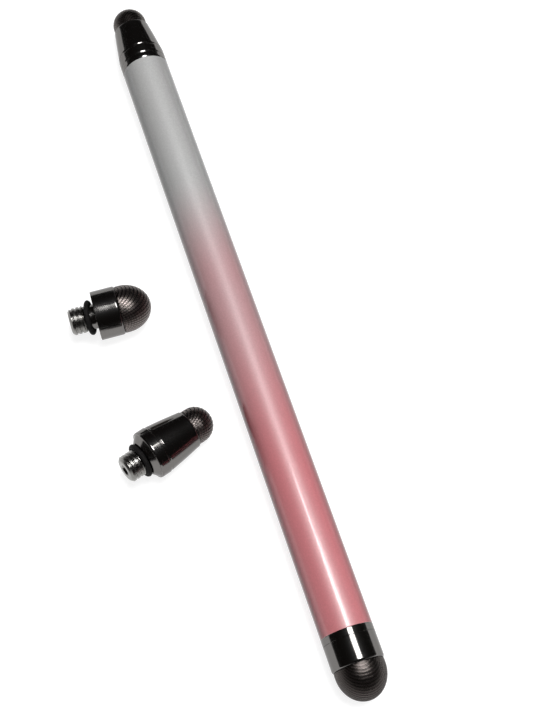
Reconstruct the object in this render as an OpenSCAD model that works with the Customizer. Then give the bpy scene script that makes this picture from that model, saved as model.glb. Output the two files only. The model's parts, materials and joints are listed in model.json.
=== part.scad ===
// Two-ended touch-screen stylus with screw-in fibre-mesh tips and two spare tips.
// The pen lies along X with its large tip at +X, and the origin is on the barrel's
// axis at half its length. The surface that everything lies on is one barrel radius
// below the axis. Each tip is drawn upright on its own axis, with Z = 0 at the back
// face that seats on the barrel's end ring, and is then laid in its place.

/* [Barrel] */
// Outside diameter of the lacquered barrel
barrel_d = 9; // [8.8:0.1:11]
// Length of the barrel between its two end rings
barrel_len = 116; // [90:1:140]
// Wall thickness of the barrel tube
barrel_wall = 0.9; // [0.6:0.05:1]
// Bright bevel turned on both ends of the tube
barrel_bevel = 0.12; // [0.05:0.01:0.25]

/* [End bushes] */
// Width of the end ring that shows beyond the barrel
ring_w = 1.2; // [0.8:0.1:2]
// Length of the spigot pressed into the barrel
spigot_len = 9; // [7:0.5:16]
// Lead-in bevel on the spigot's inner end
spigot_bevel = 0.3; // [0.1:0.05:0.5]

/* [Screw stud] */
// Wall of the end bush round its screw socket, which sets the thread's diameter
socket_wall = 1.07; // [0.95:0.01:1.25]
// Length of the threaded part
thread_len = 2.75; // [2:0.05:4]
// Bevel at the stud's free end
stud_bevel = 0.4; // [0.2:0.05:0.6]
// Wall of the stud's shank round the hole drilled up it
drill_wall = 0.8; // [0.65:0.05:1.05]
// Depth of that hole to its shoulder
drill_depth = 3.6; // [2:0.1:4]
// How far the peened head inside the ferrule stands out past the shank
head_over = 0.4; // [0.25:0.05:0.4]
// Thickness of the peened head
head_t = 0.4; // [0.3:0.05:0.6]

/* [Neck and seal] */
// Height of the thread above the neck that carries the rubber seal
thread_step = 0.2; // [0.1:0.05:0.35]
// Wall of the neck round the stud's shank
neck_wall = 0.62; // [0.5:0.01:0.8]
// Length of the neck between the ferrule and the thread
neck_len = 2; // [1.6:0.1:2.4]
// Thickness of the rubber seal's cord
seal_cord = 0.93; // [0.8:0.01:0.95]

/* [Large tip] */
// Length of the straight collar
collar_len = 4.45; // [4:0.05:8]
// Wall of the collar round the mesh
collar_wall = 0.3; // [0.25:0.01:0.5]
// Thickness of the collar's floor
collar_floor = 1.2; // [0.8:0.05:1.4]
// How far the large dome stands in from the collar's outside
large_inset = 0.17; // [0.05:0.01:0.28]
// Length of the large dome beyond the collar
large_dome_len = 5.75; // [4.5:0.05:7]
// Straight run of the large dome before it rounds off
large_dome_run = 0.5; // [0:0.05:1.5]

/* [Small tip] */
// Length of the tapered nose
nose_len = 8.8; // [8:0.1:12]
// Length of the straight band at the back of the nose
band_len = 1.9; // [1.2:0.1:3]
// Diameter of the nose at its front edge
nose_front_d = 7; // [6.4:0.1:7.6]
// Wall of the nose round the mesh
nose_wall = 0.3; // [0.25:0.01:0.4]
// Depth of the socket bored into the nose for the mesh
nose_bore_depth = 4.2; // [3.4:0.1:6]
// Thickness of the web that the stud's shank passes through
nose_floor = 1.2; // [0.8:0.05:2]
// Gap round the stud's peened head in the passage above that web
passage_gap = 0.1; // [0.05:0.01:0.2]
// Width of the groove between the band and the taper
groove_w = 0.3; // [0.15:0.05:0.5]
// Depth of that groove
groove_depth = 0.18; // [0.1:0.01:0.25]
// Crown of the taper, measured from its straight chord
taper_crown = 0.05; // [0.02:0.01:0.08]
// Length of the bevel that centres the nose in its end ring
seat_bevel_len = 0.95; // [0.6:0.05:1]
// How far that bevel's small end stands in from the seal's outside
seat_step = 0.08; // [0.02:0.01:0.25]
// Width of the flat seat outside that bevel
seat_flat = 0.28; // [0.25:0.01:0.6]
// Rounding of the band's back corner
seat_round = 0.15; // [0.1:0.01:0.18]
// How far the small dome stands in from the nose's front edge
small_inset = 0.2; // [0.05:0.01:0.3]
// Length of the small dome beyond the nose
small_dome_len = 4.5; // [3.5:0.05:5.5]
// Straight run of the small dome before it rounds off
small_dome_run = 1; // [0:0.05:1.5]

/* [Mesh, core and clamp ring] */
// Thickness of the knitted fibre mesh
mesh_t = 0.3; // [0.2:0.01:0.35]
// Depth of the mesh skirt tucked into each ferrule
skirt_len = 2.6; // [1.8:0.1:2.7]
// Length of the ring that clamps the skirt
clamp_len = 1.7; // [1:0.1:1.8]
// Wall of the clamp ring
clamp_wall = 0.4; // [0.3:0.05:0.6]

/* [Spare tips beside the pen] */
// Place of the spare large tip's back face along the pen
spare_large_x = -9.8; // [-30:0.1:0]
// Place of the spare large tip's back face beside the pen
spare_large_y = -23.6; // [-40:0.1:-20]
// Turn of the spare large tip from the pen's direction, in degrees
spare_large_turn = 87.5; // [70:0.5:110]
// Share of its free neck over which the spare large tip's loose seal lies askew
spare_seal_askew = 0.9; // [0:0.05:1]
// Side of that seal which lies nearest to the thread, in degrees from the top
spare_seal_side = 42; // [0:1:90]
// Place of the spare small tip's back face along the pen
spare_small_x = 18.7; // [12:0.1:40]
// Place of the spare small tip's back face beside the pen
spare_small_y = -22.2; // [-40:0.1:-21]
// Turn of the spare small tip from the pen's direction, in degrees
spare_small_turn = 109; // [90:0.5:120]

/* [Fits and edges] */
// Gap all round between pieces pressed or glued together
fixed_gap = 0.03; // [0.01:0.01:0.05]
// Gap all round between the screw stud and its socket
screw_gap = 0.05; // [0.03:0.01:0.08]
// Gap between a tip's back face and the end ring it seats on
seat_gap = 0.02; // [0.01:0.01:0.05]
// Gap all round between the rubber seal and its pocket
seal_gap = 0.06; // [0.04:0.01:0.1]
// Bevel on the edges of the turned metal pieces
edge = 0.1; // [0.05:0.01:0.15]
// Rounding of the lip round each mesh
lip_r = 0.22; // [0.1:0.01:0.24]

/* [Hidden] */
$fn = 96;

// Steps in a round stretch of an outline
ARC_STEPS = 6;
DOME_STEPS = 18;
TAPER_STEPS = 8;

// Radii that every turned piece shares
barrel_r = barrel_d / 2;
barrel_bore_r = barrel_r - barrel_wall;
spigot_r = barrel_bore_r - fixed_gap;
socket_r = spigot_r - socket_wall;
thread_r = socket_r - screw_gap;
neck_r = thread_r - thread_step;
shank_hole_r = neck_r - neck_wall;
shank_r = shank_hole_r - fixed_gap;
drill_r = shank_r - drill_wall;
head_r = shank_r + head_over;
passage_r = head_r + passage_gap;
seal_in_r = neck_r + fixed_gap;
seal_mid_r = seal_in_r + seal_cord / 2;
seal_out_r = seal_in_r + seal_cord;

// The pocket for the seal and the seat that each end bush offers to a tip
pocket_r = seal_out_r + seal_gap;
pocket_depth = neck_len + seal_gap;
seat_r = barrel_r - seat_flat;

// Where a tip's back face lies, and the height of the supporting surface
seat_x = barrel_len / 2 + ring_w + seat_gap;
floor_z = -barrel_r;

// Large tip: the collar's cup and the dome over it
cup_r = barrel_r - collar_wall;
large_dome_r = barrel_r - large_inset;

// Small tip: the nose's socket, the dome over it and the seat bevel's small end
nose_front_r = nose_front_d / 2;
nose_cup_r = nose_front_r - nose_wall;
small_dome_r = nose_front_r - small_inset;
taper_z = band_len + groove_w;
taper_r = barrel_r - groove_depth / 2;
seat_small_r = seal_out_r - seat_step;
small_shoulder_z = nose_len + mesh_t + small_dome_run;

// The spare large tip's loose seal: the free neck it has, and how far its middle has slid
seal_room = neck_len - seal_cord - 2 * fixed_gap;
seal_slide = spare_seal_askew * seal_room / 2;

// The spare small tip leans over its band's front edge until its taper touches the surface
nose_lean = min([for (p = concat(taper_side(nose_len - lip_r), [[small_dome_r, small_shoulder_z]]))
    atan((barrel_r - p[0]) / (p[1] - band_len))]);
spare_small_z = floor_z + band_len * sin(nose_lean) + barrel_r * cos(nose_lean);

// Points of an arc about [x, z], from one angle to another
function arc(x, z, r, from, to, steps) =
    [for (i = [0:steps]) let (a = from + (to - from) * i / steps) [x + r * cos(a), z + r * sin(a)]];

// Quarter of an ellipse, from its widest ring at height z up to its apex
function crown(r, h, z) =
    [for (i = [0:DOME_STEPS]) let (a = 90 * i / DOME_STEPS) [r * cos(a), z + h * sin(a)]];

// Outline of a dome that grows out of a skirt: a short swell past the lip, then the crown
function dome(skirt_r, dome_r, mouth, run, len) = concat(
    [for (i = [0:ARC_STEPS]) let (a = 90 * i / ARC_STEPS)
        [skirt_r + (dome_r - skirt_r) * sin(a), mouth + mesh_t * (1 - cos(a))]],
    crown(dome_r, len - mesh_t - run, mouth + mesh_t + run));

// Side of the taper: a straight chord with a slight crown, from its base to its front edge
function taper_side(z_end) =
    [for (i = [0:TAPER_STEPS]) let (t = i / TAPER_STEPS)
        [taper_r + (nose_front_r - taper_r) * t + taper_crown * sin(180 * t),
         taper_z + (z_end - taper_z) * t]];

// Barrel: a plain tube with a bright bevel at each end
module barrel_tube() {
    color("lightpink") rotate([0, 90, 0]) rotate_extrude() polygon([
        [barrel_bore_r, -barrel_len / 2],
        [barrel_r - barrel_bevel, -barrel_len / 2],
        [barrel_r, -barrel_len / 2 + barrel_bevel],
        [barrel_r, barrel_len / 2 - barrel_bevel],
        [barrel_r - barrel_bevel, barrel_len / 2],
        [barrel_bore_r, barrel_len / 2]]);
}

// End bush with a flat seat, its ring's outer face at Z = 0 and its spigot below
module end_bush(mouth) {
    color("dimgray") rotate_extrude() polygon(concat(
        mouth,
        [[barrel_r - edge, 0],
         [barrel_r, -edge],
         [barrel_r, -ring_w + edge],
         [barrel_r - edge, -ring_w],
         [spigot_r, -ring_w],
         [spigot_r, -ring_w - spigot_len + spigot_bevel],
         [spigot_r - spigot_bevel, -ring_w - spigot_len],
         [socket_r, -ring_w - spigot_len]]));
}

// The bush's inside, from the socket up through the seal's pocket to a flat mouth
function flat_mouth() = [
    [socket_r, -pocket_depth],
    [pocket_r, -pocket_depth],
    [pocket_r, -edge],
    [pocket_r + edge, 0]];

// The same inside with a conical mouth that centres the tapered nose
function cone_mouth() = [
    [socket_r, -pocket_depth],
    [pocket_r, -pocket_depth],
    [pocket_r, -seat_bevel_len + seal_gap],
    [seat_r + seal_gap, 0]];

// Screw stud: thread below the neck, shank through the ferrule's floor, peened head above it
module screw_stud(floor_t) {
    thread_end = -neck_len - thread_len;
    head_z = floor_t + fixed_gap;
    color("silver") rotate_extrude() polygon([
        [0, thread_end + drill_depth + drill_r],
        [drill_r, thread_end + drill_depth],
        [drill_r, thread_end + edge],
        [drill_r + edge, thread_end],
        [thread_r - stud_bevel, thread_end],
        [thread_r, thread_end + stud_bevel],
        [thread_r, -neck_len - fixed_gap - edge],
        [thread_r - edge, -neck_len - fixed_gap],
        [shank_r, -neck_len - fixed_gap],
        [shank_r, head_z],
        [head_r, head_z],
        [head_r - edge, head_z + head_t],
        [0, head_z + head_t]]);
}

// Straight collar: neck, floor and a thin cup whose lip is rolled over the mesh
module collar() {
    color("dimgray") rotate_extrude() polygon(concat(
        [[shank_hole_r, -neck_len],
         [neck_r - edge, -neck_len],
         [neck_r, -neck_len + edge],
         [neck_r, -edge],
         [neck_r + edge, 0],
         [barrel_r - edge, 0],
         [barrel_r, edge]],
        arc(barrel_r - lip_r, collar_len - lip_r, lip_r, 0, 90, ARC_STEPS),
        [[cup_r, collar_len],
         [cup_r, collar_floor],
         [shank_hole_r, collar_floor]]));
}

// Tapered nose: neck, seat bevel, band, groove and a long taper down to the mesh
module nose() {
    color("dimgray") rotate_extrude() polygon(concat(
        [[shank_hole_r, -neck_len],
         [neck_r - edge, -neck_len],
         [neck_r, -neck_len + edge],
         [neck_r, -seat_bevel_len],
         [seat_small_r, -seat_bevel_len],
         [seat_r, 0]],
        arc(barrel_r - seat_round, seat_round, seat_round, -90, 0, ARC_STEPS),
        [[barrel_r, band_len - edge / 2],
         [barrel_r - edge / 2, band_len],
         [barrel_r - groove_depth, band_len],
         [barrel_r - groove_depth, taper_z]],
        taper_side(nose_len - lip_r),
        arc(nose_front_r - lip_r, nose_len - lip_r, lip_r, 0, 90, ARC_STEPS),
        [[nose_cup_r, nose_len],
         [nose_cup_r, nose_len - nose_bore_depth],
         [passage_r, nose_len - nose_bore_depth],
         [passage_r, nose_floor],
         [shank_hole_r, nose_floor]]));
}

// Rubber seal: a ring of round cord on the neck, held back by the thread's shoulder. Where it
// has slid, it leans: one side stays at the thread and the other side nears the ferrule
module seal(slide = 0, side = 0) {
    lean = slide / seal_mid_r;
    rest = -neck_len + seal_cord / 2 + (slide > 0 ? fixed_gap : 0);
    color("black") translate([0, 0, rest + slide])
        multmatrix([[1, 0, 0, 0], [0, 1, 0, 0], [lean * cos(side), lean * sin(side), 1, 0]])
            rotate_extrude() translate([seal_mid_r, 0]) circle(seal_cord / 2);
}

// Knitted mesh: skirt inside the ferrule, swell at the lip and closed dome outside
module mesh_cap(bore_r, mouth, dome_r, run, len) {
    skirt_r = bore_r - fixed_gap;
    outer = dome(skirt_r, dome_r, mouth, run, len);
    inner = dome(skirt_r - mesh_t, dome_r - mesh_t, mouth, run, len - mesh_t);
    color("darkslategray") rotate_extrude() polygon(concat(
        [[skirt_r, mouth - skirt_len]],
        outer,
        [for (i = [len(inner) - 1:-1:0]) inner[i]],
        [[skirt_r - mesh_t, mouth - skirt_len]]));
}

// Clamp ring: holds the skirt against the ferrule's wall
function clamp_out_r(bore_r) = bore_r - mesh_t - 2 * fixed_gap;
module clamp_ring(bore_r, mouth) {
    out_r = clamp_out_r(bore_r);
    in_r = out_r - clamp_wall;
    low = mouth - skirt_len;
    color("darkgoldenrod") rotate_extrude() polygon([
        [in_r, low],
        [out_r - edge, low],
        [out_r, low + edge],
        [out_r, low + clamp_len - edge],
        [out_r - edge, low + clamp_len],
        [in_r + edge, low + clamp_len],
        [in_r, low + clamp_len - edge]]);
}

// Soft core: a stem through the clamp ring and a crown that fills the mesh
module core(bore_r, mouth, dome_r, run, len, stem_foot) {
    stem_r = clamp_out_r(bore_r) - clamp_wall - fixed_gap;
    wide_r = clamp_out_r(bore_r);
    shoulder = mouth - skirt_len + clamp_len + fixed_gap;
    inset = mesh_t + fixed_gap;
    color("slategray") rotate_extrude() polygon(concat(
        [[0, stem_foot],
         [stem_r, stem_foot],
         [stem_r, shoulder],
         [wide_r, shoulder]],
        dome(wide_r, dome_r - inset, mouth, run, len - inset)));
}

// Each piece of a large tip and of a small tip, upright on the tip's own axis
module large_stud() { screw_stud(collar_floor); }
module large_clamp() { clamp_ring(cup_r, collar_len); }
module large_core() {
    core(cup_r, collar_len, large_dome_r, large_dome_run, large_dome_len,
         collar_floor + 2 * fixed_gap + head_t);
}
module large_mesh() { mesh_cap(cup_r, collar_len, large_dome_r, large_dome_run, large_dome_len); }
module small_stud() { screw_stud(nose_floor); }
module small_clamp() { clamp_ring(nose_cup_r, nose_len); }
module small_core() {
    core(nose_cup_r, nose_len, small_dome_r, small_dome_run, small_dome_len,
         nose_len - nose_bore_depth + fixed_gap);
}
module small_mesh() { mesh_cap(nose_cup_r, nose_len, small_dome_r, small_dome_run, small_dome_len); }

// The four places where a tip lies
module at_large_end() { translate([seat_x, 0, 0]) rotate([0, 90, 0]) children(); }
module at_small_end() { translate([-seat_x, 0, 0]) rotate([0, -90, 0]) children(); }
module as_large_spare() {
    translate([spare_large_x, spare_large_y, 0])
        rotate([0, 0, spare_large_turn]) rotate([0, 90, 0]) children();
}
module as_small_spare() {
    translate([spare_small_x, spare_small_y, spare_small_z])
        rotate([0, 0, spare_small_turn]) rotate([0, 90 + nose_lean, 0]) children();
}

module large_end_bush() {
    translate([-seat_gap, 0, 0]) at_large_end() end_bush(flat_mouth());
}
module small_end_bush() {
    translate([seat_gap, 0, 0]) at_small_end() end_bush(cone_mouth());
}

// Large tip, screwed into the pen
module large_tip_stud() { at_large_end() large_stud(); }
module large_tip_collar() { at_large_end() collar(); }
module large_tip_seal() { at_large_end() seal(); }
module large_tip_clamp_ring() { at_large_end() large_clamp(); }
module large_tip_core() { at_large_end() large_core(); }
module large_tip_mesh() { at_large_end() large_mesh(); }

// Small tip, screwed into the pen
module small_tip_stud() { at_small_end() small_stud(); }
module small_tip_nose() { at_small_end() nose(); }
module small_tip_seal() { at_small_end() seal(); }
module small_tip_clamp_ring() { at_small_end() small_clamp(); }
module small_tip_core() { at_small_end() small_core(); }
module small_tip_mesh() { at_small_end() small_mesh(); }

// Spare large tip, lying on its collar
module spare_large_tip_stud() { as_large_spare() large_stud(); }
module spare_large_tip_collar() { as_large_spare() collar(); }
module spare_large_tip_seal() { as_large_spare() seal(seal_slide, spare_seal_side); }
module spare_large_tip_clamp_ring() { as_large_spare() large_clamp(); }
module spare_large_tip_core() { as_large_spare() large_core(); }
module spare_large_tip_mesh() { as_large_spare() large_mesh(); }

// Spare small tip, lying on its taper
module spare_small_tip_stud() { as_small_spare() small_stud(); }
module spare_small_tip_nose() { as_small_spare() nose(); }
module spare_small_tip_seal() { as_small_spare() seal(); }
module spare_small_tip_clamp_ring() { as_small_spare() small_clamp(); }
module spare_small_tip_core() { as_small_spare() small_core(); }
module spare_small_tip_mesh() { as_small_spare() small_mesh(); }

barrel_tube();
large_end_bush();
small_end_bush();

large_tip_stud();
large_tip_collar();
large_tip_seal();
large_tip_clamp_ring();
large_tip_core();
large_tip_mesh();

small_tip_stud();
small_tip_nose();
small_tip_seal();
small_tip_clamp_ring();
small_tip_core();
small_tip_mesh();

spare_large_tip_stud();
spare_large_tip_collar();
spare_large_tip_seal();
spare_large_tip_clamp_ring();
spare_large_tip_core();
spare_large_tip_mesh();

spare_small_tip_stud();
spare_small_tip_nose();
spare_small_tip_seal();
spare_small_tip_clamp_ring();
spare_small_tip_core();
spare_small_tip_mesh();
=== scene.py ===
"""Looks of the two-ended stylus pen: lacquer, black chrome, threaded studs, seals and knitted tips."""
import json
import logging
import math
from dataclasses import dataclass, replace
from enum import Enum
from functools import cache, partialmethod

import bpy
import numpy as np
from mathutils import Matrix, Vector


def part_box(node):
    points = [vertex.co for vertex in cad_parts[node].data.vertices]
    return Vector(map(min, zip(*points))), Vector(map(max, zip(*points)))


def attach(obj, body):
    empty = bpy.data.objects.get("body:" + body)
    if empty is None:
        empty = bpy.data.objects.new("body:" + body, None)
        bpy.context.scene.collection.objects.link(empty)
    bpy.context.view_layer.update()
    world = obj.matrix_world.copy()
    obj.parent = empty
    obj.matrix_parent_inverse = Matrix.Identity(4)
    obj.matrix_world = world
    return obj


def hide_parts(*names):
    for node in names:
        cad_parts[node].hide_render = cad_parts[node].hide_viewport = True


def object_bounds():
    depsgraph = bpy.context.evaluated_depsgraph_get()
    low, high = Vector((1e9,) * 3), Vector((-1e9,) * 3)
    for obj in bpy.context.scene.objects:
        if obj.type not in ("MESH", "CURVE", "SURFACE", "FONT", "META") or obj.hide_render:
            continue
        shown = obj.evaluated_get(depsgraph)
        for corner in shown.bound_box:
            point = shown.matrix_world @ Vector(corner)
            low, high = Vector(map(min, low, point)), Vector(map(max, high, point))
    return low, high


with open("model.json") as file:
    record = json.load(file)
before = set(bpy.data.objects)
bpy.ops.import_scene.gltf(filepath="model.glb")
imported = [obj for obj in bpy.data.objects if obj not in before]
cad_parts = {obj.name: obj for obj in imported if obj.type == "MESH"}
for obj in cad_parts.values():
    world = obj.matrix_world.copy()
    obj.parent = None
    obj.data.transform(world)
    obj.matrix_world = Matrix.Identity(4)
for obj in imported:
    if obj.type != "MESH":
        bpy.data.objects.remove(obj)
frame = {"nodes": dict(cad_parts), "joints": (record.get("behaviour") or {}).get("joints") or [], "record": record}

LOG = logging.getLogger("stylus")
MM = 0.001
CAD_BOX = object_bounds()
STUD_MIDDLE = -3.24 * MM    # Middle of a spare stud's mount, along the tip's axis from its back face
Tree, Mesh, Piece, Look = bpy.types.NodeTree, bpy.types.Mesh, bpy.types.Object, bpy.types.Material
Pair = tuple[float, float]
Triple = tuple[float, float, float]
Outline = list[Pair]
Corners = list[tuple[float, ...]]


class Kind(Enum):
    """The two kinds of screw-in tip."""

    LARGE = "large"
    SMALL = "small"

    @property
    def ferrule(self) -> str:
        """Give the name of the metal part that holds the cap."""
        return "collar" if self is Kind.LARGE else "nose"


@dataclass(frozen=True)
class Wire:
    """A node's output on its sheet, which Python's operators join into Math nodes."""

    sheet: "NodeSheet"
    socket: bpy.types.NodeSocket

    def join(self, operation: str, term: "Term") -> "Wire":
        """Join this and a term in a Math node."""
        return self.sheet.math(operation, self, term)

    def __rsub__(self, number: float) -> "Wire":
        """Give a number minus this."""
        return self.sheet.math("SUBTRACT", number, self)

    __add__, __sub__ = partialmethod(join, "ADD"), partialmethod(join, "SUBTRACT")
    __mul__, __truediv__ = partialmethod(join, "MULTIPLY"), partialmethod(join, "DIVIDE")
    __pow__ = partialmethod(join, "POWER")


Term = Wire | float | int


class NodeSheet:
    """A node tree with short calls for adding and linking nodes."""

    def __init__(self, tree: Tree) -> None:
        """Keep the tree that the calls add to."""
        self.tree = tree

    @classmethod
    def cleared(cls, owner: Look | bpy.types.World) -> "NodeSheet":
        """Give a material or world an empty node tree.

        Args:
            owner: The material or world.

        Returns:
            The tree's sheet.
        """
        owner.use_nodes = True
        owner.node_tree.nodes.clear()
        return cls(owner.node_tree)

    def put(self, node: bpy.types.Node, name: str | int, value: object) -> None:
        """Link or set one input of a node.

        Args:
            node: The node that takes the value.
            name: Name or index of its input.
            value: A wire to link, or a plain value to set. A colour may go without its alpha.
        """
        socket = node.inputs[name]
        if isinstance(value, Wire):
            self.tree.links.new(value.socket, socket)
        elif socket.type == "RGBA" and len(value) == 3:
            socket.default_value = (*value, 1.0)
        else:
            socket.default_value = value

    def add(self, kind: str, inputs: dict | None = None, **settings: object) -> bpy.types.Node:
        """Add one node.

        Args:
            kind: Blender's name of the node type.
            inputs: Values or wires for its inputs, by name or index.
            settings: The node's own properties.

        Returns:
            The new node.
        """
        node = self.tree.nodes.new(kind)
        for name, value in settings.items():
            setattr(node, name, value)
        for name, value in (inputs or {}).items():
            self.put(node, name, value)
        return node

    def out(self, kind: str, inputs: dict | None = None, output: str | int = 0, **settings: object) -> Wire:
        """Add one node, as add does, and return one of its outputs, by name or index."""
        return Wire(self, self.add(kind, inputs, **settings).outputs[output])

    def wires(self, node: bpy.types.Node) -> dict[str, Wire]:
        """Give a node's outputs by name."""
        return {socket.name: Wire(self, socket) for socket in node.outputs}

    def math(self, operation: str, *terms: Term) -> Wire:
        """Add a Math node on one to three terms."""
        return self.out("ShaderNodeMath", dict(enumerate(terms)), operation=operation)

    def length(self, x: Term, y: Term) -> Wire:
        """Give the length of a vector with two parts."""
        return self.math("SQRT", x ** 2.0 + y ** 2.0)

    def xyz(self, vector: Wire) -> tuple[Wire, ...]:
        """Split a vector into X, Y and Z."""
        return tuple(self.wires(self.add("ShaderNodeSeparateXYZ", {0: vector})).values())

    def vector(self, x: Term, y: Term, z: Term) -> Wire:
        """Join X, Y and Z into a vector."""
        return self.out("ShaderNodeCombineXYZ", {0: x, 1: y, 2: z})

    def ramp(self, value: Term, low: Term, high: Term, to_low: float = 0.0, to_high: float = 1.0) -> Wire:
        """Map a value smoothly and clamped, so that low gives to_low and high gives to_high."""
        return self.out("ShaderNodeMapRange", {0: value, 1: low, 2: high, 3: to_low, 4: to_high},
                        interpolation_type="SMOOTHSTEP")

    def mix(self, factor: Term, first: object, second: object) -> Wire:
        """Mix two colours, all of the first one at a factor of 0."""
        return self.out("ShaderNodeMix", {0: factor, 6: first, 7: second}, output=2, data_type="RGBA")

    def shade(self, colour: Wire, share: Wire) -> Wire:
        """Multiply a colour by a number."""
        return self.out("ShaderNodeVectorMath", {0: colour, 1: self.vector(share, share, share)},
                        operation="MULTIPLY")

    def dressed(self, geometry: Wire, material: Wire) -> Wire:
        """Make a geometry's instances real and give it a material."""
        real = self.out("GeometryNodeRealizeInstances", {0: geometry})
        return self.out("GeometryNodeSetMaterial", {"Geometry": real, "Material": material})

    def facing(self) -> Wire:
        """Give 0 where a surface faces the eye and 1 at its outline."""
        return self.out("ShaderNodeLayerWeight", {"Blend": 0.5}, output="Facing")


def group_tree(name: str, kind: str, inputs: dict[str, float | str], *outputs: str) -> tuple:
    """Start a node group with named inputs and outputs.

    Args:
        name: Name of the group.
        kind: Shader or Geometry.
        inputs: The default number of each input, or else its socket type, such as Vector.
        outputs: Names of the outputs, geometry in a Geometry group and numbers in a Shader one.

    Returns:
        The sheet to add nodes to, the inputs' wires by name, and the node of the outputs.
    """
    tree = bpy.data.node_groups.new(name, f"{kind}NodeTree")
    for label, given in inputs.items():
        word = given if isinstance(given, str) else type(given).__name__.title()
        socket = tree.interface.new_socket(label, in_out="INPUT", socket_type=f"NodeSocket{word}")
        if not isinstance(given, str):
            socket.default_value = given
    result = "NodeSocketFloat" if kind == "Shader" else "NodeSocketGeometry"
    for label in outputs:
        tree.interface.new_socket(label, in_out="OUTPUT", socket_type=result)
    sheet = NodeSheet(tree)
    return sheet, sheet.wires(sheet.add("NodeGroupInput")), sheet.add("NodeGroupOutput")


@cache
def grain_group() -> Tree:
    """Build the fine grain that lacquer, rubber, foam and fibre share.

    Returns:
        A shader group with a mask from 0 to 1 and a height.
    """
    sheet, given, result = group_tree("fine_grain", "Shader", {
        "Vector": "Vector", "Grains per metre": 4000.0, "Contrast": 1.0}, "Mask", "Height")
    noise = sheet.out("ShaderNodeTexNoise", {
        "Vector": given["Vector"], "Scale": given["Grains per metre"], "Detail": 2.0, "Roughness": 0.6})
    mask = sheet.math("MULTIPLY_ADD", noise - 0.5, given["Contrast"], 0.5)
    sheet.put(result, "Mask", sheet.out("ShaderNodeClamp", {0: mask}))
    sheet.put(result, "Height", mask)
    return sheet.tree


@cache
def turning_group() -> Tree:
    """Build the fine rings that a lathe leaves and the smudges of handling, shared by the turned metals.

    Returns:
        A shader group with a mask from 0 to 1 and a height, for coordinates along the turned Z axis.
    """
    sheet, given, result = group_tree("turning_rings", "Shader", {
        "Vector": "Vector", "Rings per metre": 9000.0, "Smudge per metre": 500.0}, "Mask", "Height")
    x, y, z = sheet.xyz(given["Vector"])
    along = (z + sheet.length(x, y)) * given["Rings per metre"]
    rings = sheet.out("ShaderNodeTexNoise", {"W": along, "Scale": 1.0, "Detail": 2.0}, noise_dimensions="1D")
    smudge = sheet.out("ShaderNodeTexNoise", {
        "Vector": given["Vector"], "Scale": given["Smudge per metre"], "Detail": 3.0})
    sheet.put(result, "Mask", sheet.ramp(smudge, 0.35, 0.7))
    sheet.put(result, "Height", rings)
    return sheet.tree


@cache
def relief_group() -> Tree:
    """Build the shared mask for the painted shade between a knitted cap's loops, from how high a spot stands
    on the cap in its own frame's coordinates.

    Returns:
        The group: Mask is 1 on the cap's outer surface and 0 at Depth below it and deeper.
    """
    sheet, given, result = group_tree("cap_valley_shade", "Shader", {
        "Vector": "Vector", "Radius": 4.35 * MM, "Shoulder": 5.25 * MM, "Rise": 4.35 * MM,
        "Depth": 0.2 * MM}, "Mask")
    x, y, z = sheet.xyz(given["Vector"])
    level = sheet.math("MAXIMUM", z - given["Shoulder"], 0.0)
    side = (x ** 2.0 + y ** 2.0) / given["Radius"] ** 2.0
    up = (level / given["Rise"]) ** 2.0
    sunk = (1.0 - sheet.math("SQRT", side + up)) * given["Radius"]
    sheet.put(result, "Mask", sheet.ramp(sunk, 0.0, given["Depth"], 1.0, 0.0))
    return sheet.tree


@dataclass(frozen=True)
class Place:
    """Where a piece lies: its own frame's origin and Z axis, and its body."""

    origin: Triple
    axis: Triple
    body: str

    def matrix(self) -> Matrix:
        """Work out how the piece's own frame, Z along its axis and X upwards, lies in the pen's.

        Returns:
            The matrix from its frame to the pen's.
        """
        axis = Vector(self.axis).normalized()
        up = Vector((0.0, 0.0, 1.0))
        first = (up - axis * axis.dot(up)).normalized()
        turned = Matrix((first, axis.cross(first), axis)).transposed()
        return Matrix.Translation(Vector(self.origin)) @ turned.to_4x4()


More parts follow.
